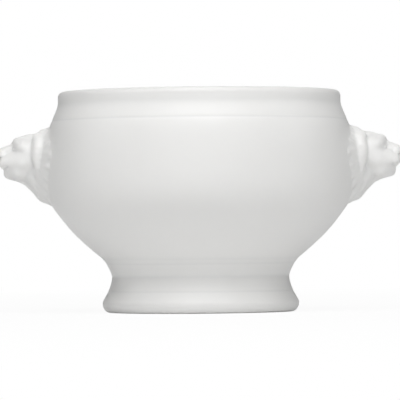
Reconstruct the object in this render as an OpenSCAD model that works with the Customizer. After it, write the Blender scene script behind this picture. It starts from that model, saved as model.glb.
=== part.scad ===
// Footed soup crock in white glazed porcelain, with a lion head handle on each side.
// Millimetres. The origin is the centre of the foot's resting face, +Z is up, and the handles lie along X.

/* [Bowl] */
// Height of the rim above the table
overall_h = 88.2; // [80:0.1:110]
// Outer diameter of the straight rim collar
rim_d = 113.4; // [106:0.1:122]
// Thickness of the rounded lip
lip_t = 4.3; // [3.4:0.1:6]
// Height of the straight collar under the rim
collar_h = 4.4; // [3.2:0.1:7]
// Drop from the rim to the incised shoulder line
shoulder_drop = 10.8; // [9:0.1:12.5]
// Outer diameter at the shoulder line
shoulder_d = 118.2; // [116:0.1:122]
// Depth of the shoulder line
line_deep = 0.2; // [0.1:0.05:0.4]
// Width of the shoulder line
line_w = 0.9; // [0.6:0.1:1.4]
// Outer diameter of the belly
belly_d = 123.7; // [122.6:0.1:128]
// Height of the widest part of the belly
belly_z = 54.9; // [53:0.1:57]
// Outer diameter where the belly has turned in
turn_d = 115.6; // [113:0.1:118]
// Height where the belly has turned in
turn_z = 40.7; // [39.5:0.1:42]
// Outer diameter where the belly ends and the stem begins
hip_d = 78.6; // [76:0.1:84]
// Height where the belly ends and the stem begins
hip_z = 21.6; // [20:0.1:23]
// Thickness of the bowl's wall
wall_t = 4.0; // [3.4:0.1:5]
// Thickness of the bowl's floor
floor_t = 5.0; // [4:0.1:6.5]

/* [Foot] */
// Outer diameter of the narrowest part of the stem
waist_d = 71.1; // [68:0.1:75]
// Height of the narrowest part of the stem, where the foot is luted on
waist_z = 14.0; // [12.5:0.1:15.5]
// Outer diameter of the foot at its toe
toe_d = 78.8; // [76:0.1:84]
// Height of the toe's widest part
toe_z = 3.6; // [2.8:0.1:4.5]
// Inset of the resting ring from the toe
toe_round = 2.8; // [2:0.1:4]
// Width of the ring that rests on the table
rest_w = 3.4; // [2.4:0.1:4.5]
// Wall of the hollow foot at the waist
foot_wall = 4.9; // [4:0.1:6]

/* [Lion heads] */
// Reach of the nose past the belly
head_reach = 18.4; // [16:0.1:21]
// Width across the mane
head_w = 38.8; // [34:0.1:43]
// Height from the tip of the beard to the crown
head_h = 32.7; // [29:0.1:34.5]
// Height of the head's middle above the table
head_z = 59; // [57:0.1:61]

/* [Slip joints] */
// Thickness of the fired slip under each head
head_slip_t = 0.4; // [0.3:0.05:0.8]
// Thickness of the fired slip between bowl and foot
foot_slip_t = 0.4; // [0.3:0.05:0.8]
// Setback of the slip from the edges it joins
slip_inset = 0.3; // [0.15:0.05:0.8]
// Room left between curved faces that are luted together
seat_gap = 0.07; // [0.05:0.01:0.12]

/* [Hidden] */
glaze = [0.93, 0.93, 0.92];
slip_clay = [0.90, 0.89, 0.86];

// Steps along each curve, around a rounded edge, and around the pot
curve_steps = 14;
edge_steps = 8;
round_steps = 96;
// Columns around a head, and rings from its nose out to the bowl
head_columns = 72;
head_rings = 27;
back_rings = 8;
// Steps that find the head's surface along a ray, each closing in on it
ray_steps = 11;

// Radii and heights that follow from the sizes above
rim_r = rim_d / 2;
shoulder_r = shoulder_d / 2;
belly_r = belly_d / 2;
turn_r = turn_d / 2;
hip_r = hip_d / 2;
waist_r = waist_d / 2;
toe_r = toe_d / 2;
rest_r = toe_r - toe_round;
lip_r = lip_t / 2;
shoulder_z = overall_h - shoulder_drop;
collar_z = overall_h - collar_h;
seat_r = waist_r - foot_wall;
seat_z = waist_z + foot_slip_t;

// A cubic curve from one point to the next, with a pull at each end
function bend(a, b, c, d, steps = curve_steps) = [
    for (i = [0 : steps])
        let (t = i / steps, u = 1 - t)
            u * u * u * a + 3 * u * u * t * b + 3 * u * t * t * c + t * t * t * d
];
function unit(v) = v / norm(v);
// A curve between two points that leaves along one way and arrives along the other
function sweep(a, way_a, pull_a, d, way_d, pull_d, steps = curve_steps) =
    bend(a, a + pull_a * unit(way_a), d - pull_d * unit(way_d), d, steps);
function arc_at(centre, r, from, to, steps = edge_steps) = [
    for (i = [0 : steps])
        let (turn = from + (to - from) * i / steps)
            centre + r * [cos(turn), sin(turn)]
];
// The same line moved sideways, to its right, by t
function beside(line, t) = [
    for (i = [0 : len(line) - 1])
        let (
            way = unit(line[min(i + 1, len(line) - 1)] - line[max(i - 1, 0)])
        )
            line[i] + t * [way.y, -way.x]
];

// Ways in which the outline runs at its stations, as [outward, upward]
down_way = [0, -1];
shoulder_way = [0.42, -1];
turn_way = [-0.74, -1];
hip_in_way = [-1.22, -1];
hip_out_way = [-0.95, -1];
// Pulls of the outline's curves, as shares of the height that each one spans
neck_shares = [0.22, 0.5];
shoulder_shares = [0.28, 0.14];
belly_shares = [0.61, 0.18];
under_shares = [0.5, 0.71];
hip_shares = [0.33, 0.45];
toe_shares = [0.62, 0.3];

neck_span = collar_z - shoulder_z;
upper_span = shoulder_z - belly_z;
belly_span = belly_z - turn_z;
under_span = turn_z - hip_z;
hip_span = hip_z - seat_z;
foot_span = waist_z - toe_z;

shoulder_point = [shoulder_r, shoulder_z];
line_half = [shoulder_way.x, shoulder_way.y] * line_w / 2;
neck_line = sweep(
    [rim_r, collar_z], down_way, neck_span * neck_shares[0],
    shoulder_point - line_half, shoulder_way, neck_span * neck_shares[1]
);
upper_line = sweep(
    shoulder_point + line_half, shoulder_way, upper_span * shoulder_shares[0],
    [belly_r, belly_z], down_way, upper_span * shoulder_shares[1]
);
belly_line = sweep(
    [belly_r, belly_z], down_way, belly_span * belly_shares[0],
    [turn_r, turn_z], turn_way, belly_span * belly_shares[1]
);
under_line = sweep(
    [turn_r, turn_z], turn_way, under_span * under_shares[0],
    [hip_r, hip_z], hip_in_way, under_span * under_shares[1]
);
stem_line = sweep(
    [hip_r, hip_z], hip_out_way, hip_span * hip_shares[0],
    [waist_r, seat_z], down_way, hip_span * hip_shares[1]
);
lip_centre = [rim_r - lip_r, overall_h - lip_r];

function tail(line) = [for (i = [1 : len(line) - 1]) line[i]];
function reversed(line) = [for (i = [len(line) - 1 : -1 : 0]) line[i]];
body_line = concat(upper_line, tail(belly_line), tail(under_line));

// The inside of the bowl runs beside the outside at the wall's thickness, and ends in a rounded floor
floor_z = seat_z + floor_t;
inner_side = beside(body_line, wall_t);
inner_neck = sweep(
    [rim_r - lip_t, collar_z], down_way, neck_span * neck_shares[0],
    inner_side[0], shoulder_way, neck_span * neck_shares[1]
);
inner_hip = inner_side[len(inner_side) - 1];
floor_shares = [0.2, 0.55];
floor_line = sweep(
    inner_hip, hip_in_way, inner_hip.x * floor_shares[0],
    [0, floor_z], [-1, 0], inner_hip.x * floor_shares[1]
);

bowl_outline = concat(
    arc_at(lip_centre, lip_r, 180, 0, edge_steps * 2),
    neck_line,
    [shoulder_point - [line_deep, 0]],
    body_line,
    tail(stem_line),
    [[seat_r, seat_z], [0, seat_z]],
    reversed(floor_line),
    reversed([for (i = [0 : len(inner_side) - 2]) inner_side[i]]),
    reversed([for (i = [0 : len(inner_neck) - 2]) inner_neck[i]])
);

// The outside of the bowl as pairs of height and radius, which the heads are seated on
outside_table = [
    for (p = reversed(concat(neck_line, body_line))) [p.y, p.x]
];
function bowl_r(z) = lookup(z, outside_table);
// A point on the bowl at a height and sideways place, moved out by a gap
function on_bowl(y, z, gap) = [sqrt(pow(bowl_r(z) + gap, 2) - y * y), y, z];

// Foot: outside cove and toe, then the hollow inside
toe_shoulder_share = 0.55;
foot_side = sweep(
    [waist_r, waist_z], down_way, foot_span * toe_shares[0],
    [toe_r, toe_z], [0.1, -1], foot_span * toe_shares[1]
);
toe_line = sweep(
    [toe_r, toe_z], down_way, toe_z * toe_shoulder_share,
    [rest_r, 0], [-1, 0], toe_round * toe_shoulder_share,
    edge_steps
);
rest_in = rest_r - rest_w;
foot_inside = sweep(
    [rest_in, 0], [-0.35, 1], foot_span * toe_shares[1],
    [seat_r, waist_z], [0, 1], foot_span * toe_shares[0]
);
foot_outline = concat(foot_side, tail(toe_line), foot_inside);

// Lion head. Each row is a kind, a softness and a form, all as shares of the head's own lengths:
// outward from the belly, sideways from the middle, and upward from the head's middle.
// A ball has a centre and three radii, and a lock has two ends and the radius at each of them.
// Forms that lie aside are mirrored to the other side, and cuts are taken out of what comes before them.
reach_share = 0.94;
width_share = 1.94;
height_share = 1.635;
head_unit = [head_reach / reach_share, head_w / width_share, head_h / height_share];
heart_share = [-0.35, 0, 0.05];
face_shares = [
    // mane against the bowl, skull, muzzle, forehead and brow
    ["ball", 0.05, [-0.24, 0.00, 0.05], [0.36, 0.89, 0.71]],
    ["ball", 0.10, [0.29, 0.00, 0.18], [0.34, 0.42, 0.40]],
    ["ball", 0.08, [0.60, 0.00, 0.05], [0.26, 0.26, 0.27]],
    ["lock", 0.09, [0.55, 0.00, 0.455], [0.34, 0.00, 0.49], 0.10, 0.105],
    ["lock", 0.07, [0.555, 0.11, 0.465], [0.45, 0.32, 0.38], 0.085, 0.08],
    // cheeks, jaw and chin
    ["ball", 0.06, [0.46, 0.27, 0.07], [0.18, 0.17, 0.23]],
    ["ball", 0.06, [0.46, 0.19, -0.14], [0.16, 0.18, 0.19]],
    ["lock", 0.05, [0.74, 0.00, -0.165], [0.45, 0.00, -0.225], 0.12, 0.145],
    // sockets, eyes and the bridge of the nose
    ["cut lock", 0.03, [0.69, 0.13, 0.40], [0.61, 0.27, 0.335], 0.045, 0.06],
    ["ball", 0.02, [0.58, 0.20, 0.33], [0.06, 0.08, 0.055]],
    ["lock", 0.06, [0.60, 0.00, 0.355], [0.85, 0.00, 0.265], 0.12, 0.11],
    ["ball", 0.03, [0.855, 0.00, 0.20], [0.11, 0.14, 0.13]],
    // whisker pads and mouth
    ["ball", 0.03, [0.77, 0.11, 0.05], [0.155, 0.14, 0.13]],
    ["cut lock", 0.02, [0.93, 0.00, -0.085], [0.86, 0.14, -0.09], 0.022, 0.022],
    ["cut lock", 0.03, [0.86, 0.14, -0.09], [0.73, 0.26, -0.03], 0.022, 0.04],
    // crown and ears
    ["lock", 0.05, [0.34, 0.00, 0.52], [0.16, 0.00, 0.59], 0.07, 0.09],
    ["lock", 0.05, [0.16, 0.00, 0.59], [-0.09, 0.00, 0.70], 0.09, 0.12],
    ["ball", 0.03, [0.17, 0.33, 0.50], [0.07, 0.12, 0.12]],
    // beard
    ["lock", 0.06, [0.42, 0.00, -0.26], [0.20, 0.00, -0.46], 0.12, 0.125],
    ["lock", 0.06, [0.20, 0.00, -0.46], [0.04, 0.00, -0.625], 0.125, 0.125],
    ["lock", 0.06, [0.04, 0.00, -0.625], [-0.10, 0.00, -0.68], 0.125, 0.12],
];
// Locks of the mane as [turn from the crown, reach], around the face and then on the bowl
inner_lock_shares = [[24, 0.60], [50, 0.64], [77, 0.66], [104, 0.64], [131, 0.64], [156, 0.68]];
outer_lock_shares = [[38, 0.66], [58, 0.80], [75, 0.91], [92, 0.81], [110, 0.70], [130, 0.68], [152, 0.74]];
// Start, height off the bowl at start and tip, radius at start and tip, and softness of each ring
inner_ring_shares = [0.34, 0.09, -0.02, 0.16, 0.11, 0.05];
outer_ring_shares = [0.54, -0.06, -0.19, 0.15, 0.10, 0.05];
lock_droop = 5;
function ring_place(x, far, turn) =
    [x, heart_share.y + far * sin(turn), heart_share.z + far * cos(turn)];
function lock_rows(locks, ring) = [
    for (s = locks)
        [
            "lock", ring[5],
            ring_place(ring[1], ring[0], s[0]), ring_place(ring[2], s[1], s[0] + lock_droop),
            ring[3], ring[4],
        ]
];
head_shares = concat(
    face_shares,
    lock_rows(outer_lock_shares, outer_ring_shares),
    lock_rows(inner_lock_shares, inner_ring_shares)
);

function soft_min(a, b, k) = let (h = max(k - abs(a - b), 0) / k) min(a, b) - h * h * k / 4;
function ball_gap(p, c, r) =
    let (
        q = [(p.x - c.x) / r.x, (p.y - c.y) / r.y, (p.z - c.z) / r.z],
        near = norm(q)
    )
        near * (near - 1) / max(norm([q.x / r.x, q.y / r.y, q.z / r.z]), 1);
function lock_gap(p, a, b, r_a, r_b) =
    let (
        run = b - a,
        t = max(0, min(1, (p - a) * run / (run * run)))
    )
        norm(p - a - t * run) - r_a - t * (r_b - r_a);
function row_gap(p, row) =
    len(row) == 4 ? ball_gap(p, row[2], row[3]) : lock_gap(p, row[2], row[3], row[4], row[5]);
function is_cut(row) = row[0][0] == "c";
// How far a point lies outside the head, taking the rows one after another
clear_share = 9;
function head_gap(p, i = 0, gap = clear_share) =
    i == len(head_shares) ? gap :
    head_gap(
        p, i + 1,
        let (row = head_shares[i], g = row_gap(p, row))
            is_cut(row) ? -soft_min(-gap, g, row[1]) : soft_min(gap, g, row[1])
    );

// The frame of a head: its shares turned into places, and places into shares
head_place = [bowl_r(head_z), 0, head_z];
function to_place(s) = head_place + [s.x * head_unit.x, s.y * head_unit.y, s.z * head_unit.z];
function to_share(p) =
    let (q = p - head_place) [q.x / head_unit.x, q.y / head_unit.y, q.z / head_unit.z];

// Where the head's edge meets the bowl, on a ray over its surface
edge_low_share = 0.5;
edge_high_share = 1.1;
function edge_point(turn, far, gap) =
    let (s = heart_share + far * [0, sin(turn), cos(turn)], p = to_place(s))
        on_bowl(p.y, p.z, gap);
function edge_far(turn, gap, low = edge_low_share, high = edge_high_share, i = ray_steps) =
    let (middle = (low + high) / 2)
        i == 0 ? middle :
        head_gap(to_share(edge_point(turn, middle, gap))) < 0
            ? edge_far(turn, gap, middle, high, i - 1)
            : edge_far(turn, gap, low, middle, i - 1);

// Outermost point of the head on a ray from its heart
ray_start_share = 1.45;
ray_pace_share = 0.92;
function skin_far(way, far = ray_start_share, i = ray_steps) =
    i == 0 ? far :
    skin_far(way, far - ray_pace_share * head_gap(heart_share + far * way), i - 1);
function between_ways(a, b, t) =
    let (angle = acos(a * b)) (sin((1 - t) * angle) * a + sin(t * angle) * b) / sin(angle);

// One column of the head, from beside the nose out to its edge on the bowl
nose_rise_share = 0.12;
nose_way = unit([1, 0, nose_rise_share]);
function head_column(turn, gap) =
    let (
        far = edge_far(turn, gap),
        edge = edge_point(turn, far, gap),
        edge_way = unit(to_share(edge) - heart_share)
    )
        [
            far,
            [
                for (i = [1 : head_rings - 1])
                    let (way = between_ways(nose_way, edge_way, i / head_rings))
                        to_place(heart_share + skin_far(way) * way)
            ],
            edge,
        ];
function back_column(turn, far, gap) = [
    for (i = [1 : back_rings - 1]) edge_point(turn, far * (1 - i / back_rings), gap)
];
function mirrored(p) = [p.x, -p.y, p.z];
// All columns around, worked out on one side and mirrored to the other
function all_columns(half) = [
    for (j = [0 : head_columns - 1])
        j <= head_columns / 2 ? half[j] : [for (p = half[head_columns - j]) mirrored(p)]
];
// Faces of a closed skin of columns between two end points
function skin_faces(count, rows) = concat(
    [for (j = [0 : count - 1]) [0, 2 + ((j + 1) % count) * rows, 2 + j * rows]],
    [
        for (j = [0 : count - 1], i = [0 : rows - 2])
            let (a = 2 + j * rows + i, b = 2 + ((j + 1) % count) * rows + i)
                each [[a, b, a + 1], [b, b + 1, a + 1]]
    ],
    [for (j = [0 : count - 1]) [1, 1 + (j + 1) * rows, 1 + (((j + 1) % count) + 1) * rows]]
);
module skin(start, end, columns) {
    polyhedron(
        concat([start, end], [for (c = columns) each c]),
        skin_faces(len(columns), len(columns[0]))
    );
}

half_turns = [for (j = [0 : head_columns / 2]) 360 * j / head_columns];
head_back_gap = head_slip_t + 2 * seat_gap;

module lion_head() {
    half = [
        for (turn = half_turns)
            let (c = head_column(turn, head_back_gap))
                concat(c[1], [c[2]], back_column(turn, c[0], head_back_gap))
    ];
    nose = to_place(heart_share + skin_far(nose_way) * nose_way);
    heart = to_place(heart_share);
    color(glaze) skin(nose, on_bowl(0, heart.z, head_back_gap), all_columns(half));
}

module head_slip_joint() {
    inset = slip_inset / head_unit.z;
    front_gap = head_slip_t + seat_gap;
    half = [
        for (turn = half_turns)
            let (far = edge_far(turn, head_back_gap) - inset)
                [
                    for (i = [1 : back_rings]) edge_point(turn, far * i / back_rings, front_gap),
                    for (i = [0 : back_rings - 1]) edge_point(turn, far * (1 - i / back_rings), seat_gap),
                ]
    ];
    heart = to_place(heart_share);
    color(slip_clay)
        skin(on_bowl(0, heart.z, front_gap), on_bowl(0, heart.z, seat_gap), all_columns(half));
}

module bowl() {
    color(glaze) rotate_extrude($fn = round_steps) polygon(bowl_outline);
}

module foot() {
    color(glaze) rotate_extrude($fn = round_steps) polygon(foot_outline);
}

module foot_slip_joint() {
    color(slip_clay)
        translate([0, 0, waist_z])
            difference() {
                cylinder(h = foot_slip_t, r = waist_r - slip_inset, $fn = round_steps);
                translate([0, 0, -foot_slip_t])
                    cylinder(h = 3 * foot_slip_t, r = seat_r + slip_inset, $fn = round_steps);
            }
}

module right_lion_head() {
    lion_head();
}

module left_lion_head() {
    rotate([0, 0, 180]) lion_head();
}

module right_head_slip_joint() {
    head_slip_joint();
}

module left_head_slip_joint() {
    rotate([0, 0, 180]) head_slip_joint();
}

bowl();
foot();
foot_slip_joint();
right_lion_head();
left_lion_head();
right_head_slip_joint();
left_head_slip_joint();
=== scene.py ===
import bpy, bmesh, math
import numpy as np
from mathutils import Matrix, Vector


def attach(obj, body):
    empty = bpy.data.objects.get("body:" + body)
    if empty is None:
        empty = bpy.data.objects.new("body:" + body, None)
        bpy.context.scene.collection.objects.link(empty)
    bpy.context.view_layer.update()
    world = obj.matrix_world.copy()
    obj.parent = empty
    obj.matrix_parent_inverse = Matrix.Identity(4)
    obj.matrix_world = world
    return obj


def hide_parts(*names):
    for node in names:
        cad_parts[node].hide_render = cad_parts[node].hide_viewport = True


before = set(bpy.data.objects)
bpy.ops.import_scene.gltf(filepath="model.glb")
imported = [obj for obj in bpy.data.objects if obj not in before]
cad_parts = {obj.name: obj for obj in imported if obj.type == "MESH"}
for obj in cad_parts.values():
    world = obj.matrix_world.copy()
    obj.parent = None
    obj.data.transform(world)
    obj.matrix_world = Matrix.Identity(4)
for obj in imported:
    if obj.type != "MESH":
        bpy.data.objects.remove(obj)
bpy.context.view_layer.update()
mm = 0.001
fine = 0.05  # spacing of an outline's points before they are thinned out, in millimetres
down, inward = (0, -1), (-1, 0)


# drawing the pot's outline, as (radius, height) in millimetres
def heading(way):
    way = np.array(way, float)
    return way / np.linalg.norm(way)


def sweep(start, startWay, end, endWay, pulls, size=1, steps=60):
    # a curve that leaves along one way and arrives along another; pulls are shares of the size
    start, end = np.array(start, float), np.array(end, float)
    near, far = start + size * pulls[0] * heading(startWay), end - size * pulls[1] * heading(endWay)
    t = np.linspace(0, 1, steps)[:, None]
    u = 1 - t
    return u**3 * start + 3 * u * u * t * near + 3 * u * t * t * far + t**3 * end


def sideways(line, gap):
    way = np.gradient(line, axis=0)
    way /= np.linalg.norm(way, axis=1)[:, None]
    return line + gap * np.stack([way[:, 1], -way[:, 0]], 1)


def chain(*lines):
    joined = [np.atleast_2d(np.array(line, float)) for line in lines]
    for i in range(1, len(joined)):
        if np.allclose(joined[i][0], joined[i - 1][-1], atol=1e-6):
            joined[i] = joined[i][1:]
    return np.concatenate([line for line in joined if len(line)])


def bell(width):
    # weights that smooth an outline over this width, and how many points they reach each way
    reach = int(3 * width / fine)
    weight = np.exp(-0.5 * (np.arange(-reach, reach + 1) * fine / width) ** 2)
    return weight / weight.sum(), reach


def softened(line, soften):
    # rounds every corner as a coat of glaze does; the ends lie on the axis and are mirrored in it
    run = np.r_[0, np.cumsum(np.linalg.norm(np.diff(line, axis=0), axis=1))]
    even = np.linspace(0, run[-1], int(run[-1] / fine) + 1)
    dense = np.stack([np.interp(even, run, line[:, i]) for i in (0, 1)], 1)
    weight, reach = bell(soften)
    mirrored = dense * (-1, 1)
    padded = np.vstack([mirrored[1:reach + 1][::-1], dense, mirrored[-reach - 1:-1][::-1]])
    return np.stack([np.convolve(padded[:, i], weight, "valid") for i in (0, 1)], 1)


def bending(line):
    # how fast the outline turns, per millimetre: above 0 in a hollow, below 0 over an edge
    along = np.gradient(line[:, :2], axis=0)
    step = np.linalg.norm(along, axis=1)
    return np.gradient(np.unwrap(np.arctan2(along[:, 1], along[:, 0]))) / step


def withHollows(line, spread=0.35):
    # adds a third column, how hollow the outline is around each point
    weight, reach = bell(spread)
    smooth = np.convolve(np.pad(bending(line), reach, "edge"), weight, "valid")
    return np.column_stack([line, np.clip(smooth, -1, 1)])


def spaced(line, chordError=0.003, widest=1.6, evenOut=10):
    # keeps the points closer together where the line bends more
    density = np.maximum(np.sqrt(np.abs(bending(line)) / (8 * chordError)), 1 / widest)
    window = np.ones(2 * evenOut + 1) / (2 * evenOut + 1)
    density = np.convolve(np.pad(density, evenOut, "edge"), window, "valid")
    gap = np.linalg.norm(np.diff(line[:, :2], axis=0), axis=1)
    count = np.r_[0, np.cumsum((density[1:] + density[:-1]) / 2 * gap)]
    want = np.linspace(0, count[-1], int(count[-1]) + 2)
    return np.stack([np.interp(want, count, column) for column in line.T], 1)


def meshPiece(name, verts, faces):
    mesh = bpy.data.meshes.new(name)
    mesh.from_pydata([tuple(v) for v in verts], [], faces)
    mesh.update()
    mesh.polygons.foreach_set("use_smooth", np.ones(len(mesh.polygons), bool))
    piece = bpy.data.objects.new(name, mesh)
    bpy.context.collection.objects.link(piece)
    return piece


def faceOutward(piece, sharpFrom=50):
    form = bmesh.new()
    form.from_mesh(piece.data)
    bmesh.ops.recalc_face_normals(form, faces=form.faces)
    form.to_mesh(piece.data)
    form.free()
    piece.data.set_sharp_from_angle(angle=math.radians(sharpFrom))


def keepHollow(piece, hollow):
    # the glaze reads this: it pools grey where the value is above 0, painting shade into grooves as
    # well, and thins where it is below
    store = piece.data.attributes.new("hollow", "FLOAT", "POINT")
    store.data.foreach_set("value", np.clip(hollow, -1, 1))


def turned(name, outline, closed, around=288):
    # turns an outline of radius, height and hollow round the axis, where an open one has its ends
    angle = np.arange(around) * 2 * math.pi / around
    rim = outline if closed else outline[1:-1]
    rings = np.stack([
        rim[:, :1] * np.cos(angle), rim[:, :1] * np.sin(angle), np.repeat(rim[:, 1:2], around, 1)
    ], -1).reshape(-1, 3)
    hollow = np.repeat(rim[:, 2], around)
    n = len(rim)
    faces = []
    for i in range(n if closed else n - 1):
        a, b = i * around, (i + 1) % n * around
        for j in range(around):
            k = (j + 1) % around
            faces.append((a + j, a + k, b + k, b + j))
    verts = list(rings)
    if not closed:
        first, last = len(verts), len(verts) + 1
        verts += [(0, 0, outline[0][1]), (0, 0, outline[-1][1])]
        hollow = np.r_[hollow, outline[0][2], outline[-1][2]]
        end = (n - 1) * around
        for j in range(around):
            k = (j + 1) % around
            faces.append((first, k, j))
            faces.append((last, end + j, end + k))
    piece = meshPiece(name, np.array(verts, float) * mm, faces)
    faceOutward(piece)
    keepHollow(piece, hollow)
    return piece


# bowl
bowl = dict(
    height=88.2, rimWidth=113.0, lip=4.3, collar=4.4, neckPulls=(0.22, 0.5),
    shoulderDrop=11.8, shoulderWidth=118.2, shoulderWay=(0.42, -1), upperPulls=(0.28, 0.28),
    lineDepth=0.18, lineTall=1.1, lineLift=0.5,
    bellyWidth=123.7, bellyZ=57.5, bellyPulls=(0.48, 0.27),
    turnWidth=115.6, turnZ=40.7, turnWay=(-0.74, -1), underPulls=(0.5, 0.71),
    hipWidth=78.6, hipZ=21.6, hipWayIn=(-1.22, -1), hipWayOut=(-0.95, -1), stemPulls=(0.33, 0.33),
    waistWidth=70.8, waistWay=(-0.24, -1), seatZ=14.4, skirt=0.27,
    wall=4.0, floor=5.0, floorPulls=(0.2, 0.55), soften=0.3, ribLine=(19.5, 0.07, 0.5),
)


def bowlLines(b):
    collarZ, shoulderZ = b["height"] - b["collar"], b["height"] - b["shoulderDrop"]
    rim, lipR = b["rimWidth"] / 2, b["lip"] / 2
    shoulder = np.array([b["shoulderWidth"] / 2, shoulderZ])
    nick = np.array(b["shoulderWay"]) * b["lineTall"] / 2
    belly, turn = (b["bellyWidth"] / 2, b["bellyZ"]), (b["turnWidth"] / 2, b["turnZ"])
    hip, waist = (b["hipWidth"] / 2, b["hipZ"]), (b["waistWidth"] / 2, b["seatZ"])
    neckTall, upperTall, bellyTall = collarZ - shoulderZ, shoulderZ - belly[1], belly[1] - turn[1]
    underTall, stemTall = turn[1] - hip[1], hip[1] - waist[1]
    neck = sweep((rim, collarZ), down, shoulder - nick, b["shoulderWay"], b["neckPulls"], neckTall)
    upper = sweep(shoulder + nick, b["shoulderWay"], belly, down, b["upperPulls"], upperTall)
    lower = sweep(belly, down, turn, b["turnWay"], b["bellyPulls"], bellyTall)
    under = sweep(turn, b["turnWay"], hip, b["hipWayIn"], b["underPulls"], underTall)
    stem = sweep(hip, b["hipWayOut"], waist, b["waistWay"], b["stemPulls"], stemTall)
    body = chain(upper, lower, under)
    inside = sideways(body, b["wall"])
    innerNeck = sweep(
        (rim - b["lip"], collarZ), down, inside[0], b["shoulderWay"], b["neckPulls"], neckTall
    )
    corner, middle = inside[-1], (0, b["seatZ"] + b["floor"])
    floorLine = sweep(corner, b["hipWayIn"], middle, inward, b["floorPulls"], corner[0])
    lipTurn = np.linspace(math.pi, 0, 40)
    lip = np.stack([
        rim - lipR + lipR * np.cos(lipTurn), b["height"] - lipR + lipR * np.sin(lipTurn)
    ], 1)
    groove = shoulder - nick * b["lineLift"] - (b["lineDepth"], 0)
    return dict(
        neck=neck, groove=groove, body=body, stem=stem, lip=lip,
        inside=chain(innerNeck, inside, floorLine),
    )


# foot
foot = dict(
    waistZ=14.0, waistWay=(0.06, -1), sidePulls=(0.47, 0.12),
    toeWidth=78.6, toeZ=3.8, toeWay=(0.08, -1), toeRound=2.8, toePull=0.55,
    restWidth=3.4, wall=4.9, hollowWay=(-0.35, 1), hollowPulls=(0.3, 0.62),
    ribLine=(8.5, 0.07, 0.45),
)


def footLines(f, waistR):
    tall = f["waistZ"] - f["toeZ"]
    toeR = f["toeWidth"] / 2
    restR = toeR - f["toeRound"]
    waist, toe = (waistR, f["waistZ"]), (toeR, f["toeZ"])
    toePulls = (f["toeZ"] * f["toePull"], f["toeRound"] * f["toePull"])
    return chain(
        sweep(waist, f["waistWay"], toe, f["toeWay"], f["sidePulls"], tall),
        sweep(toe, down, (restR, 0), inward, toePulls),
        sweep(
            (restR - f["restWidth"], 0), f["hollowWay"], (waistR - f["wall"], f["waistZ"]), (0, 1),
            f["hollowPulls"], tall,
        ),
    )


# the glaze is one coat, so the outline is softened whole and then parted at the waist
lines = bowlLines(bowl)
potLine = softened(chain(
    lines["inside"][::-1], lines["lip"], lines["neck"], lines["groove"], lines["body"],
    lines["stem"], footLines(foot, bowl["waistWidth"] / 2), (0, bowl["seatZ"]),
), bowl["soften"])
rimAt = int(np.argmax(potLine[:, 1]))
restAt = int(np.argmin(potLine[:, 1]))
for lineZ, depth, tall in (bowl["ribLine"], foot["ribLine"]):  # the potter's rib left faint lines
    level = potLine[rimAt:restAt, 1] - lineZ
    potLine[rimAt:restAt, 0] -= depth * np.exp(-((level / tall) ** 2))
potLine = withHollows(potLine)
waistAt = rimAt + int(np.argmin(np.abs(potLine[rimAt:restAt, 1] - foot["waistZ"])))
hollowAt = restAt + int(np.argmax(potLine[restAt:, 1] >= foot["waistZ"]))
waistZ = potLine[waistAt][1]
skirtR = potLine[waistAt][0] - bowl["skirt"]  # the glaze hangs over the slip joint in a skirt
seatZ = bowl["seatZ"]
bowlOutline = chain(
    spaced(potLine[:waistAt + 1]), (skirtR, waistZ, 0), (skirtR, seatZ, 0), (0, seatZ, 0),
)
footOutline = chain(spaced(potLine[waistAt:hollowAt + 1]), (potLine[hollowAt][0], waistZ, 0))
bowlPiece = turned("glazed_bowl", bowlOutline, closed=False)
footPiece = turned("glazed_foot", footOutline, closed=True)
print("pot turned:", len(bowlPiece.data.vertices), "and", len(footPiece.data.vertices), "points")


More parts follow.
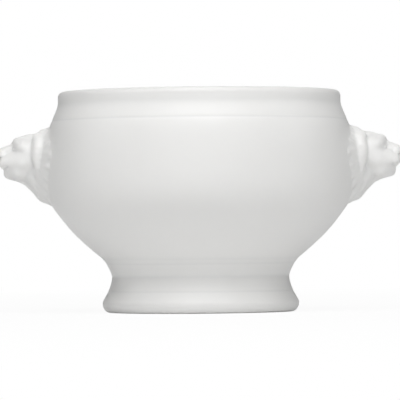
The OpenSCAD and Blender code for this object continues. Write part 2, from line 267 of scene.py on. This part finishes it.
# lion heads. Rows are a kind, a softness and a form: outward, aside and up from the head's middle,
# one unit being 20 mm. A ball has a centre and three radii, a lock two ends and a radius at each,
# and each knot of a roll a place and a radius. A cut form is taken away.
head = dict(
    reach=19.57, unit=20.0, height=59.0, maneMiddle=0.05, pitch=0.3, low=(-7.8, 0, 39.4),
    high=(19.6, 22.4, 79.0), fillet=0.5, trim=0.97, sink=1.0, pocket=0.55, pocketIn=(1.3, 1.8),
)
hair = dict(
    strands=34, depth=0.0035, innerShare=0.35, curl=3.2, curlPace=6, start=(0.46, 0.58),
    front=(0.24, 0.16), outer=(0.04, -0.04), beardStrands=50, beardCurl=2, beardPace=5,
    beardTop=(-0.32, -0.44), beardFront=(0.26, 0.16), beardSide=(0.42, 0.32),
)
faceForms = [
    # mane against the bowl, skull, temples, muzzle, forehead and brow
    ("ball", 0.05, (-0.24, 0, 0.05), (0.36, 0.89, 0.71)),
    ("ball", 0.10, (0.29, 0, 0.18), (0.34, 0.42, 0.40)),
    ("ball", 0.08, (0.42, 0, 0.34), (0.24, 0.34, 0.215)),
    ("ball", 0.08, (0.60, 0, 0.05), (0.26, 0.26, 0.27)),
    ("lock", 0.09, (0.55, 0, 0.455), (0.34, 0, 0.49), 0.10, 0.105),
    ("lock", 0.09, (0.555, 0.11, 0.465), (0.45, 0.27, 0.38), 0.085, 0.08),
    # throat, cheek running into the muzzle, jaw running into the chin
    ("lock", 0.07, (0.20, 0.09, -0.16), (-0.05, 0.10, -0.46), 0.235, 0.25),
    ("lock", 0.06, (0.13, 0.33, -0.12), (0.08, 0.27, -0.33), 0.09, 0.09),
    ("lock", 0.08, (0.44, 0.17, 0.05), (0.77, 0.08, 0.06), 0.235, 0.15),
    ("lock", 0.05, (0.50, 0.155, -0.12), (0.71, 0.05, -0.14), 0.19, 0.115),
    ("lock", 0.05, (0.735, 0, -0.155), (0.45, 0, -0.21), 0.11, 0.14),
    # bridge of the nose, stop under the brow, and eye
    ("lock", 0.06, (0.60, 0, 0.345), (0.85, 0, 0.257), 0.12, 0.11),
    ("cutLock", 0.03, (0.690, 0.05, 0.475), (0.670, 0.19, 0.37), 0.018, 0.018),
    ("cutBall", 0.04, (0.675, 0.19, 0.320), (0.034, 0.050, 0.018)),
    ("ball", 0.03, (0.600, 0.165, 0.318), (0.055, 0.055, 0.024)),
    ("ball", 0.03, (0.855, 0, 0.20), (0.11, 0.14, 0.13)),
    # whisker pads, mouth, nostrils and the split of the upper lip
    ("ball", 0.04, (0.78, 0.10, 0.05), (0.15, 0.135, 0.13)),
    ("cutLock", 0.03, (0.935, 0, -0.085), (0.875, 0.12, -0.09), 0.022, 0.020),
    ("cutLock", 0.05, (0.875, 0.12, -0.09), (0.775, 0.225, -0.045), 0.020, 0.024),
    ("cutLock", 0.02, (0.95, 0.055, 0.175), (0.90, 0.10, 0.16), 0.016, 0.022),
    ("cutLock", 0.03, (0.965, 0, 0.13), (0.92, 0, -0.05), 0.012, 0.016),
    # ears
    ("ball", 0.05, (0.17, 0.27, 0.52), (0.08, 0.09, 0.10)),
    ("cutBall", 0.04, (0.265, 0.28, 0.535), (0.035, 0.045, 0.050)),
    # crown, roll of hair beside the face, beard
    ("roll", 0.10, [
        (0.34, 0, 0.51, 0.07), (0.16, 0, 0.560, 0.09), (0.02, 0, 0.595, 0.105),
        (-0.10, 0, 0.64, 0.12),
    ]),
    ("roll", 0.09, [
        (0.02, 0.09, 0.61, 0.11), (0.08, 0.28, 0.515, 0.13), (0.11, 0.42, 0.36, 0.135),
        (0.13, 0.475, 0.17, 0.115), (0.125, 0.47, -0.03, 0.08), (0.09, 0.41, -0.20, 0.06),
        (0.02, 0.31, -0.38, 0.06),
    ]),
    ("roll", 0.06, [
        (0.41, 0, -0.23, 0.12), (0.17, 0, -0.455, 0.125), (0.04, 0, -0.60, 0.13),
        (-0.10, 0, -0.655, 0.12),
    ]),
]
# outer locks of the mane as (turn from the crown, reach); they lie on the bowl's wall
maneLocks = [
    (24, 0.66), (40, 0.68), (58, 0.80), (75, 0.91), (92, 0.81), (110, 0.72), (130, 0.70),
    (152, 0.76), (172, 0.76),
]
mane = dict(
    start=0.54, rootProud=-0.03, tipProud=-0.065, rootR=0.15, tipR=0.10, softness=0.12, droop=5,
)
outside = chain(lines["neck"], lines["body"])[::-1]
outsideSlope = np.gradient(outside[:, 0], outside[:, 1])


def wallR(z):
    return np.interp(z, outside[:, 1], outside[:, 0])


seatX = float(wallR(head["height"]))


def onWall(proud, far, turn):
    # a place that stands so far proud of the bowl's wall, in head units
    turn = math.radians(turn)
    y, z = far * math.sin(turn), head["maneMiddle"] + far * math.cos(turn)
    wall = math.sqrt(wallR(head["height"] + z * head["unit"]) ** 2 - (y * head["unit"]) ** 2)
    return ((wall - seatX) / head["reach"] + proud, y, z)


headForms = [
    (
        "lock", mane["softness"], onWall(mane["rootProud"], mane["start"], turn),
        onWall(mane["tipProud"], reach, turn + mane["droop"]), mane["rootR"], mane["tipR"],
    )
    for turn, reach in maneLocks
] + faceForms


def softMin(a, b, k):
    h = np.maximum(k - np.abs(a - b), 0) / k
    return np.minimum(a, b) - h * h * k / 4


def ballGap(p, centre, radii):
    q = [(p[i] - centre[i]) / radii[i] for i in range(3)]
    near = np.sqrt(q[0] ** 2 + q[1] ** 2 + q[2] ** 2)
    steep = np.sqrt((q[0] / radii[0]) ** 2 + (q[1] / radii[1]) ** 2 + (q[2] / radii[2]) ** 2)
    return near * (near - 1) / np.maximum(steep, 1)


def lockGap(p, a, b, rA, rB):
    # a round cone: its skin leaves both end balls without a crease
    length = math.dist(a, b)
    way = [(b[i] - a[i]) / length for i in range(3)]
    along = sum((p[i] - a[i]) * way[i] for i in range(3))
    across = np.sqrt(np.maximum(sum((p[i] - a[i]) ** 2 for i in range(3)) - along**2, 0))
    taper = math.asin((rA - rB) / length)
    at = np.clip(along - across * math.tan(taper), 0, length)
    return np.hypot(along - at, across) - rA - at / length * (rB - rA)


def curveThrough(knots, steps=4):
    # a smooth run of points through the knots
    knots = np.array(knots)
    ends = np.vstack([2 * knots[0] - knots[1], knots, 2 * knots[-1] - knots[-2]])
    t = np.linspace(0, 1, steps, endpoint=False)[:, None]
    runs = [
        b + t * (c - a) / 2 + t**2 * (a - 2.5 * b + 2 * c - d / 2)
        + t**3 * (1.5 * (b - c) + (d - a) / 2)
        for a, b, c, d in zip(ends, ends[1:], ends[2:], ends[3:])
    ]
    return np.vstack([*runs, knots[-1]])


def rollGap(p, knots):
    run = curveThrough(knots)
    gap = np.full(np.shape(p[0]), 9.0)
    for a, b in zip(run, run[1:]):
        gap = np.minimum(gap, lockGap(p, a[:3], b[:3], a[3], b[3]))
    return gap


formGaps = dict(ball=ballGap, lock=lockGap, roll=rollGap)


def formsGap(p, forms):
    p = (p[0], np.abs(p[1]), p[2])
    gap = np.full(np.shape(p[0]), 9.0)
    for kind, softness, *form in forms:
        g = formGaps[kind.removeprefix("cut").lower()](p, *form)
        gap = -softMin(-gap, g, softness) if kind.startswith("cut") else softMin(gap, g, softness)
    return gap


def fade(value, start, end):
    # 0 up to the start, rising to 1 at the end
    return np.clip((value - start) / (end - start), 0, 1)


def strandDip(x, y, z):
    # hair strands that run outward over the mane and curl a little; the face stays smooth
    aside, up = np.abs(y), z - head["maneMiddle"]
    far, turn = np.hypot(aside, up), np.arctan2(aside, up)
    wave = np.cos(hair["strands"] * turn + hair["curl"] * np.sin(hair["curlPace"] * far))
    cover = fade(far, *hair["start"]) * fade(x, *hair["front"])
    cover = cover * (hair["innerShare"] + (1 - hair["innerShare"]) * fade(x, *hair["outer"]))
    beard = fade(z, *hair["beardTop"]) * fade(x, *hair["beardFront"])
    beard = beard * fade(aside, *hair["beardSide"])
    beardCurl = hair["beardCurl"] * np.sin(hair["beardPace"] * z)
    beardWave = np.cos(hair["beardStrands"] * aside + beardCurl)
    return hair["depth"] * ((1 - beard) * cover * wave + beard * beardWave)


def bowlGap(x, y, z):
    # how far a point lies outside the bowl's wall, in millimetres
    lean = np.interp(z, outside[:, 1], outsideSlope)
    return (np.hypot(x, y) - wallR(z)) / np.sqrt(1 + lean * lean)


def headGaps(x, y, z):
    # the head's own gap, and the gap of the head run softly into the bowl, both in millimetres
    p = ((x - seatX) / head["reach"], y / head["unit"], (z - head["height"]) / head["unit"])
    own = head["unit"] * (formsGap(p, headForms) + strandDip(*p))
    wall = bowlGap(x, y, z)
    return own, wall, softMin(own, wall, head["fillet"])


def headSolid(x, y, z):
    # the head with a pocket behind it that leaves room for the slip, and the skin that shows
    own, wall, skin = headGaps(x, y, z)
    deep = fade(-own, *head["pocketIn"]) * (head["pocket"] + head["sink"]) - head["sink"]
    return np.maximum(np.maximum(skin, deep - wall), own - head["trim"] * head["fillet"]), skin


def untangled(field, least=0.001):
    # fills a corner of each grid square whose corners change side crosswise: left alone, such a
    # square gives an edge with four faces
    field = field.copy()
    tangled = True
    while tangled:
        tangled = False
        for u, v in ((0, 1), (1, 2), (0, 2)):
            corners = []
            for a, b in ((0, 0), (1, 0), (1, 1), (0, 1)):
                part = [slice(None)] * 3
                part[u] = slice(a, field.shape[u] - 1 + a)
                part[v] = slice(b, field.shape[v] - 1 + b)
                corners.append(tuple(part))
            values = np.stack([field[part] for part in corners])
            solid = values < 0
            crossed = (solid[0] == solid[2]) & (solid[1] == solid[3]) & (solid[0] != solid[1])
            faintest = np.argmin(np.where(solid, np.inf, values), axis=0)
            fill = np.zeros(field.shape, bool)
            for k, part in enumerate(corners):
                fill[part] |= crossed & (faintest == k)
            field[fill] = -np.maximum(field[fill], least)
            tangled = tangled or bool(crossed.any())
    return field


def skinned(field, corner, pitch):
    # wraps a mesh of four-sided faces round the part of a grid that is below zero
    size = np.array(field.shape) - 1
    total, count = np.zeros((*size, 3)), np.zeros(size)
    for axis in range(3):
        side = [i for i in range(3) if i != axis]
        for a in (0, 1):
            for b in (0, 1):
                low = [slice(0, n) for n in size]
                low[side[0]] = slice(a, size[side[0]] + a)
                low[side[1]] = slice(b, size[side[1]] + b)
                high = list(low)
                high[axis] = slice(1, size[axis] + 1)
                one, two = field[tuple(low)], field[tuple(high)]
                crossed = (one < 0) != (two < 0)
                spot = np.zeros((*size, 3))
                spot[..., side[0]], spot[..., side[1]] = a, b
                spot[..., axis] = one / np.where(crossed, one - two, 1)
                total += spot * crossed[..., None]
                count += crossed
    used = count > 0
    index = np.full(tuple(size), -1)
    index[used] = np.arange(used.sum())
    cells = np.argwhere(used)
    verts = np.array(corner) + pitch * (cells + total[used] / count[used][:, None])
    faces = []
    for axis in range(3):
        u, v = [(1, 2), (2, 0), (0, 1)][axis]
        inner = [slice(1, n) for n in size]
        inner[axis] = slice(0, size[axis])
        ahead = list(inner)
        ahead[axis] = slice(1, size[axis] + 1)
        one, two = field[tuple(inner)], field[tuple(ahead)]
        for sign in (False, True):
            at = np.argwhere(((one < 0) != (two < 0)) & ((one < 0) == sign))
            start = [1, 1, 1]
            start[axis] = 0
            at = at + start
            quad = []
            for du, dv in ((1, 1), (0, 1), (0, 0), (1, 0)):
                cell = at.copy()
                cell[:, u] -= du
                cell[:, v] -= dv
                quad.append(index[tuple(cell.T)])
            quad = np.stack(quad if sign else quad[::-1], 1)
            faces.append(quad)
    return verts, np.concatenate(faces)


def carveHead(h, nudge=0.02, clear=0.01, nearest=0.25, gentlest=0.3, shownShare=0.9):
    pitch = h["pitch"]
    low, high = np.array(h["low"]) + (seatX, 0, 0), np.array(h["high"]) + (seatX, 0, 0)
    steps = np.ceil((high - low) / pitch).astype(int)
    axes = [low[i] + pitch * np.arange(steps[i] + 1) for i in range(3)]
    half = untangled(headSolid(*np.meshgrid(*axes, indexing="ij"))[0])
    field = np.concatenate([half[:, :0:-1], half], 1)
    verts, faces = skinned(field, (low[0], -axes[1][-1], low[2]), pitch)
    for _ in range(2):  # draws the points onto the true surface, away from its hidden edges
        skin = headSolid(*verts.T)[1]
        slope = np.stack([
            headSolid(*(verts + d).T)[1] - headSolid(*(verts - d).T)[1] for d in np.eye(3) * nudge
        ], 1) / (2 * nudge)
        own, wall, _ = headGaps(*verts.T)
        shown = (own < shownShare * h["fillet"]) & (wall > clear) & (np.abs(skin) < nearest)
        steep = np.maximum((slope**2).sum(1), gentlest)
        verts = verts - (shown * skin / steep)[:, None] * slope
    return verts, faces


headVerts, headFaces = carveHead(head)
headPieces = {}
for side, turn in (("right", 0), ("left", 180)):
    piece = meshPiece(f"{side}_lion", headVerts * mm, [tuple(f) for f in headFaces.tolist()])
    piece.data.transform(Matrix.Rotation(math.radians(turn), 4, "Z"))
    headPieces[side] = piece
print("lion heads carved:", len(headVerts), "points each")


# slip that lutes each head to the bowl: a thin pad on the wall, in the pocket behind the head
slipPad = dict(inset=1.9, clear=0.03, thick=0.45, around=120, rings=16, search=(0.02, 1.1, 217))


def padPoints(far, turn, lift):
    y = head["unit"] * far * np.sin(turn)
    z = head["height"] + head["unit"] * (head["maneMiddle"] + far * np.cos(turn))
    return np.sqrt((wallR(z) + lift) ** 2 - y**2), y, z


def padMesh(pad):
    around, rings = pad["around"], pad["rings"]
    turn = np.arange(around) * 2 * math.pi / around
    trial = np.linspace(*pad["search"])[:, None]
    inside = headGaps(*padPoints(trial, turn, 0))[0] < -pad["inset"]
    reach = trial[np.argmin(inside, axis=0), 0]
    share = np.linspace(0, 1, rings + 1)[1:, None]
    under = padPoints(share * reach, turn, pad["clear"])
    over = padPoints(share * reach, turn, pad["clear"] + pad["thick"] * np.sqrt(1 - share**4))
    middle = [padPoints(0.0, 0.0, pad["clear"] + lift) for lift in (0, pad["thick"])]
    under, over = np.stack(under, -1), np.stack(over, -1)[:-1]
    verts = np.vstack([under.reshape(-1, 3), over.reshape(-1, 3), middle])
    underRows = [i * around for i in range(rings)]
    overRows = [(rings + i) * around for i in range(rings - 1)] + underRows[-1:]
    faces = []
    for centre, starts in ((len(verts) - 2, underRows), (len(verts) - 1, overRows)):
        for j in range(around):
            k = (j + 1) % around
            faces.append((centre, starts[0] + j, starts[0] + k))
            for a, b in zip(starts, starts[1:]):
                faces.append((a + j, b + j, b + k, a + k))
    return verts, faces


padVerts, padFaces = padMesh(slipPad)
padPieces = {}
for side, turn in (("right", 0), ("left", 180)):
    piece = meshPiece(f"{side}_head_slip", padVerts * mm, padFaces)
    piece.data.transform(Matrix.Rotation(math.radians(turn), 4, "Z"))
    faceOutward(piece)
    padPieces[side] = piece
print("slip pads laid:", len(padVerts), "points each")


# finishes
finish = dict(
    ior=1.48, glazeBump=(0.25, 0.00012), slipBump=(0.4, 0.0001),
    bareEdge=0.12, bareWobble=0.0006, wobbleScale=70.0,
)
whiteGlaze = {
    "Coat": (0.835, 0.832, 0.82, 1), "Pooled": (0.74, 0.745, 0.74, 1),
    "Thin": (0.87, 0.86, 0.84, 1), "Cloudiness": 0.22, "Ripple Depth": 1.0, "Pinholes": 0.5,
    "Gloss Roughness": 0.40, "Roughness Spread": 0.03,
}
# bowl and foot pool strongly, so the grey paints shade into the shoulder line, the waist and the
# neck; the heads pool less
bowlCoat = {"Pooling And Shade": 2.0, "Thinning": 0.2, "Cloud Size mm": 26, "Ripple Size mm": 9}
footCoat = {"Pooling And Shade": 2.0, "Thinning": 0.2, "Cloud Size mm": 20, "Ripple Size mm": 7}
headCoat = {"Pooling And Shade": 1.0, "Thinning": 0.6, "Cloud Size mm": 12, "Ripple Size mm": 4}
footClay = {
    "Clay": (0.79, 0.775, 0.745, 1), "Rubbed": (0.66, 0.645, 0.62, 1),
    "Rub": 0.5, "Grain Size mm": 0.35,
}
slipClay = {
    "Clay": (0.78, 0.76, 0.72, 1), "Rubbed": (0.66, 0.64, 0.6, 1),
    "Rub": 0.3, "Grain Size mm": 0.25,
}
glazeGrain = dict(
    cloudDetail=3.0, cloudRoughness=0.55, pitScale=900.0, pitAt=(0.74, 0.82), pitShade=0.5,
    pitDull=0.3, pitDepth=0.2, patchScale=60.0, patchDetail=3.0,
)
clayGrain = dict(
    detail=4.0, roughness=0.7, rubScale=180.0, rubDetail=4.0, rubAt=(0.42, 0.7), shade=0.25,
    dull=0.2, dullest=0.55,
)


def addNode(tree, kind, inputs=None, **settings):
    node = tree.nodes.new(kind)
    for name, value in settings.items():
        setattr(node, name, value)
    for name, value in (inputs or {}).items():
        if isinstance(value, bpy.types.NodeSocket):
            tree.links.new(value, node.inputs[name])
        else:
            node.inputs[name].default_value = value
    return node


def paintHollows(piece, rounds=7, pull=0.25, shortest=0.02, sameWay=0.7, limit=1.5):
    # keeps on each point how hollow the surface is there, below 0 on an edge, above 0 in a groove
    mesh = piece.data
    count = len(mesh.vertices)
    points, normals = np.zeros(count * 3), np.zeros(count * 3)
    edges = np.zeros(len(mesh.edges) * 2, int)
    mesh.vertices.foreach_get("co", points)
    mesh.vertices.foreach_get("normal", normals)
    mesh.edges.foreach_get("vertices", edges)
    points, normals = points.reshape(-1, 3) / mm, normals.reshape(-1, 3)
    one, two = edges.reshape(-1, 2).T
    step = points[two] - points[one]
    length = np.maximum(np.linalg.norm(step, axis=1), shortest)
    rise = ((normals[two] - normals[one]) * step).sum(1) / length**2
    # sharp corners don't count: they are out of sight
    rise *= (normals[two] * normals[one]).sum(1) > sameWay

    def gather(ofOne, ofTwo):
        return np.bincount(one, ofOne, count) + np.bincount(two, ofTwo, count)

    hollow = np.clip(-gather(rise * length, rise * length) / gather(length, length), -limit, limit)
    share = pull / length
    weight = 1 + gather(share, share)
    for _ in range(rounds):
        hollow = (hollow + gather(share * hollow[two], share * hollow[one])) / weight
    keepHollow(piece, hollow)


def newGroup(name, entries):
    # a shader node group with named inputs, which puts out a colour, a roughness and a height
    group = bpy.data.node_groups.new(name, "ShaderNodeTree")
    kinds = {"colour": "NodeSocketColor", "value": "NodeSocketFloat"}
    for label, kind, start in entries:
        socket = group.interface.new_socket(name=label, in_out="INPUT", socket_type=kinds[kind])
        socket.default_value = start
    for label, kind in (("Colour", "colour"), ("Roughness", "value"), ("Height", "value")):
        group.interface.new_socket(name=label, in_out="OUTPUT", socket_type=kinds[kind])
    made = group.nodes.new("NodeGroupOutput").inputs
    return group, group.nodes.new("NodeGroupInput").outputs, made


def calc(tree, operation, a, b=0.0, clamp=False):
    settings = dict(operation=operation, use_clamp=clamp)
    return addNode(tree, "ShaderNodeMath", {0: a, 1: b}, **settings).outputs[0]


def noise(tree, where, scale, detail=2.0, roughness=0.5):
    values = {"Vector": where, "Scale": scale, "Detail": detail, "Roughness": roughness}
    return addNode(tree, "ShaderNodeTexNoise", values).outputs["Fac"]


def ramp(tree, value, start, end, low=0.0, high=1.0):
    values = {0: value, 1: start, 2: end, 3: low, 4: high}
    return addNode(tree, "ShaderNodeMapRange", values, clamp=True).outputs[0]


def blend(tree, share, one, two):
    return addNode(tree, "ShaderNodeMix", {0: share, 6: one, 7: two}, data_type="RGBA").outputs[2]


def glazeCoatGroup(g):
    # a fired glaze: faint clouds, grey pools in hollows that double as painted shade in creases, a
    # thin coat on edges, ripples and pinholes
    group, given, made = newGroup("glaze coat", [
        ("Coat", "colour", (0.8, 0.8, 0.8, 1)), ("Pooled", "colour", (0.7, 0.7, 0.7, 1)),
        ("Thin", "colour", (0.85, 0.85, 0.85, 1)),
        ("Pooling And Shade", "value", 0.5), ("Thinning", "value", 0.5),
        ("Cloud Size mm", "value", 20.0), ("Cloudiness", "value", 0.1),
        ("Ripple Size mm", "value", 5.0), ("Ripple Depth", "value", 1.0),
        ("Pinholes", "value", 0.2), ("Gloss Roughness", "value", 0.15),
        ("Roughness Spread", "value", 0.04),
    ])
    where = group.nodes.new("ShaderNodeTexCoord").outputs["Object"]
    hollow = addNode(group, "ShaderNodeAttribute", attribute_name="hollow").outputs["Fac"]
    # the grey in hollows is partly real pooled glaze and partly painted shade, darkening grooves
    # and creases where shade falls
    pooledShade = calc(group, "MULTIPLY", hollow, given["Pooling And Shade"], clamp=True)
    ridge = calc(group, "MULTIPLY", hollow, -1.0)
    edge = calc(group, "MULTIPLY", ridge, given["Thinning"], clamp=True)
    cloudScale = calc(group, "DIVIDE", 1 / mm, given["Cloud Size mm"])
    clouds = noise(group, where, cloudScale, g["cloudDetail"], g["cloudRoughness"])
    veil = calc(group, "MULTIPLY", clouds, given["Cloudiness"], clamp=True)
    colour = blend(group, veil, given["Coat"], given["Pooled"])
    colour = blend(group, pooledShade, colour, given["Pooled"])
    colour = blend(group, edge, colour, given["Thin"])
    pits = ramp(group, noise(group, where, g["pitScale"]), *g["pitAt"])
    pits = calc(group, "MULTIPLY", pits, given["Pinholes"])
    colour = blend(group, calc(group, "MULTIPLY", pits, g["pitShade"]), colour, given["Pooled"])
    group.links.new(colour, made["Colour"])
    patch = calc(group, "SUBTRACT", noise(group, where, g["patchScale"], g["patchDetail"]), 0.5)
    dull = calc(group, "MULTIPLY", patch, given["Roughness Spread"])
    dull = calc(group, "ADD", calc(group, "MULTIPLY", dull, 2.0), given["Gloss Roughness"])
    dull = calc(group, "ADD", dull, calc(group, "MULTIPLY", pits, g["pitDull"]), clamp=True)
    group.links.new(dull, made["Roughness"])
    ripple = noise(group, where, calc(group, "DIVIDE", 1 / mm, given["Ripple Size mm"]), 1.0)
    height = calc(group, "MULTIPLY", ripple, given["Ripple Depth"])
    height = calc(group, "SUBTRACT", height, calc(group, "MULTIPLY", pits, g["pitDepth"]))
    group.links.new(height, made["Height"])
    return group


def bareClayGroup(g):
    # unglazed fired clay: fine grain, rub marks and grey handling dirt
    group, given, made = newGroup("bare clay", [
        ("Clay", "colour", (0.75, 0.72, 0.67, 1)), ("Rubbed", "colour", (0.6, 0.58, 0.54, 1)),
        ("Rub", "value", 0.4), ("Grain Size mm", "value", 0.3),
    ])
    where = group.nodes.new("ShaderNodeTexCoord").outputs["Object"]
    grainScale = calc(group, "DIVIDE", 1 / mm, given["Grain Size mm"])
    grain = noise(group, where, grainScale, g["detail"], g["roughness"])
    rubs = ramp(group, noise(group, where, g["rubScale"], g["rubDetail"]), *g["rubAt"])
    share = calc(group, "MULTIPLY", rubs, given["Rub"], clamp=True)
    colour = blend(group, share, given["Clay"], given["Rubbed"])
    colour = blend(group, calc(group, "MULTIPLY", grain, g["shade"]), colour, given["Rubbed"])
    dull = calc(group, "ADD", calc(group, "MULTIPLY", grain, g["dull"]), g["dullest"])
    for label, result in (("Colour", colour), ("Roughness", dull), ("Height", grain)):
        group.links.new(result, made[label])
    return group


glazeCoat, bareClay = glazeCoatGroup(glazeGrain), bareClayGroup(clayGrain)


def newMaterial(name):
    material = bpy.data.materials.new(name)
    material.use_nodes = True
    return material, material.node_tree


def finishWith(tree, colour, roughness, height, bump):
    shader = tree.nodes["Principled BSDF"]
    shader.inputs["IOR"].default_value = finish["ior"]
    values = {"Height": height, "Strength": bump[0], "Distance": bump[1]}
    relief = addNode(tree, "ShaderNodeBump", values).outputs[0]
    for label, result in (("Base Color", colour), ("Roughness", roughness), ("Normal", relief)):
        tree.links.new(result, shader.inputs[label])


def glazed(name, coat, bareBelow=None):
    material, tree = newMaterial(name)
    colour, dull, height = addNode(
        tree, "ShaderNodeGroup", {**whiteGlaze, **coat}, node_tree=glazeCoat
    ).outputs
    if bareBelow is not None:  # the resting ring is wiped free of glaze
        clay = addNode(tree, "ShaderNodeGroup", footClay, node_tree=bareClay).outputs
        where = tree.nodes.new("ShaderNodeTexCoord").outputs["Object"]
        level = addNode(tree, "ShaderNodeSeparateXYZ", {0: where}).outputs["Z"]
        wobble = calc(tree, "SUBTRACT", noise(tree, where, finish["wobbleScale"]), 0.5)
        level = calc(tree, "ADD", level, calc(tree, "MULTIPLY", wobble, finish["bareWobble"]))
        bare = ramp(tree, level, bareBelow * mm, (bareBelow - finish["bareEdge"]) * mm)
        colour = blend(tree, bare, colour, clay["Colour"])
        dull, height = (
            addNode(tree, "ShaderNodeMix", {0: bare, 2: glaze, 3: clay[label]}).outputs[0]
            for glaze, label in ((dull, "Roughness"), (height, "Height"))
        )
    finishWith(tree, colour, dull, height, finish["glazeBump"])
    return material


def slipMaterial(name):
    material, tree = newMaterial(name)
    clay = addNode(tree, "ShaderNodeGroup", slipClay, node_tree=bareClay)
    finishWith(tree, *clay.outputs, finish["slipBump"])
    return material


bowlGlaze, headGlaze = glazed("white_glaze_bowl", bowlCoat), glazed("white_glaze_head", headCoat)
footGlaze = glazed("white_glaze_foot", footCoat, bareBelow=0.3)
slip = slipMaterial("fired_slip")
dressed = (
    (bowlPiece, bowlGlaze, "bowl", "white_glaze"), (footPiece, footGlaze, "foot", "foot_glaze"),
    (headPieces["right"], headGlaze, "right_lion_head", "head_glaze"),
    (headPieces["left"], headGlaze, "left_lion_head", "head_glaze"),
    (padPieces["right"], slip, "right_head_slip_joint", "fired_slip"),
    (padPieces["left"], slip, "left_head_slip_joint", "fired_slip"),
)
for piece, material, node, slot in dressed:
    piece.data.materials.append(material)
    if "hollow" not in piece.data.attributes:
        paintHollows(piece)
    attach(piece, "root")
    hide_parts(node)
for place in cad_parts["foot_slip_joint"].material_slots:
    place.material = slip
print("finishes laid on")


# studio
camera = dict(
    place=(0, -1516, 32.7), aim=(0, 0, 44.7), lens=341.0, sensor=36, near=0.05, far=50, roll=-0.5,
)
studio = dict(
    sky=0.05, glossShare=0.2, lampAim=(0, 0, 0.045),
    floorSize=30.0, floorWhite=0.92, floorRoughness=0.9, floorGlow=0.93, glowFrom=0.15, glowTo=0.6,
)
# soft lamps as (place, size, power), each one facing the middle of the pot
lamps = dict(
    high=((0.0, -0.964, 1.194), (1.4, 0.9), 9.0),
    over=((0.0, -0.704, 1.369), (1.4, 0.9), 9.2),
    low=((0.0, -1.494, 0.176), (1.4, 0.25), 2.9),
    leftSide=((-1.279, -0.226, 0.795), (0.9, 0.9), 2.8),
    rightSide=((1.279, -0.226, 0.795), (0.9, 0.9), 2.8),
    behind=((0.0, 1.061, 1.106), (1.4, 0.9), 3.0),
)
plainWhite = {"Color": (1, 1, 1, 1), "Strength": 1.0}


def towards(place, aim):
    return (Vector(aim) - Vector(place)).to_track_quat("-Z", "Y")


def putIn(name, data, place, turn):
    item = bpy.data.objects.new(name, data)
    bpy.context.collection.objects.link(item)
    item.location, item.rotation_mode, item.rotation_quaternion = place, "QUATERNION", turn
    return item


def backgroundRays(tree):
    # 1 where the camera looks straight at the background, and a share where the glaze mirrors it
    rays = tree.nodes.new("ShaderNodeLightPath").outputs
    mirrored = calc(tree, "MULTIPLY", rays["Is Glossy Ray"], studio["glossShare"])
    seen = calc(tree, "MAXIMUM", rays["Is Camera Ray"], rays["Is Transmission Ray"])
    return calc(tree, "MAXIMUM", seen, mirrored)


def showBehind(tree, share, plain, glow, end):
    values = {0: share, 1: plain.outputs[0], 2: glow.outputs[0]}
    shown = addNode(tree, "ShaderNodeMixShader", values)
    tree.links.new(shown.outputs[0], tree.nodes[end].inputs[0])


lens = bpy.data.cameras.new("camera")
lens.lens, lens.sensor_width = camera["lens"], camera["sensor"]
lens.clip_start, lens.clip_end = camera["near"], camera["far"]
place, aim = Vector(camera["place"]) * mm, Vector(camera["aim"]) * mm
roll = Matrix.Rotation(math.radians(camera["roll"]), 4, "Z")
facing = towards(place, aim).to_matrix().to_4x4() @ roll
bpy.context.scene.camera = putIn("camera", lens, place, facing.to_quaternion())

world = bpy.data.worlds.new("studio")
bpy.context.scene.world = world
world.use_nodes = True
sky = world.node_tree.nodes["Background"]
sky.inputs["Color"].default_value = (1, 1, 1, 1)
sky.inputs["Strength"].default_value = studio["sky"]
white = addNode(world.node_tree, "ShaderNodeBackground", plainWhite)
showBehind(world.node_tree, backgroundRays(world.node_tree), sky, white, "World Output")

for name, (place, size, power) in lamps.items():
    light = bpy.data.lights.new(name, "AREA")
    light.shape, light.size, light.size_y, light.energy = "RECTANGLE", size[0], size[1], power
    putIn(name, light, place, towards(place, studio["lampAim"])).visible_camera = False
print("camera and lamps set")

half = studio["floorSize"] / 2
corners = [(-half, -half, 0), (half, -half, 0), (half, half, 0), (-half, half, 0)]
floorPiece = meshPiece("studio_floor", corners, [(0, 1, 2, 3)])
floorPaint, tree = newMaterial("studio_floor")
paint = tree.nodes["Principled BSDF"]
paint.inputs["Base Color"].default_value = (*[studio["floorWhite"]] * 3, 1)
paint.inputs["Roughness"].default_value = studio["floorRoughness"]
where = tree.nodes.new("ShaderNodeTexCoord").outputs["Object"]
away = addNode(tree, "ShaderNodeVectorMath", {0: where}, operation="LENGTH").outputs["Value"]
reach = ramp(tree, away, studio["glowFrom"], studio["glowTo"], studio["floorGlow"])
share = calc(tree, "MULTIPLY", backgroundRays(tree), reach)
showBehind(tree, share, paint, addNode(tree, "ShaderNodeEmission", plainWhite), "Material Output")
floorPiece.data.materials.append(floorPaint)

view = bpy.context.scene.view_settings
view.view_transform = "Standard"
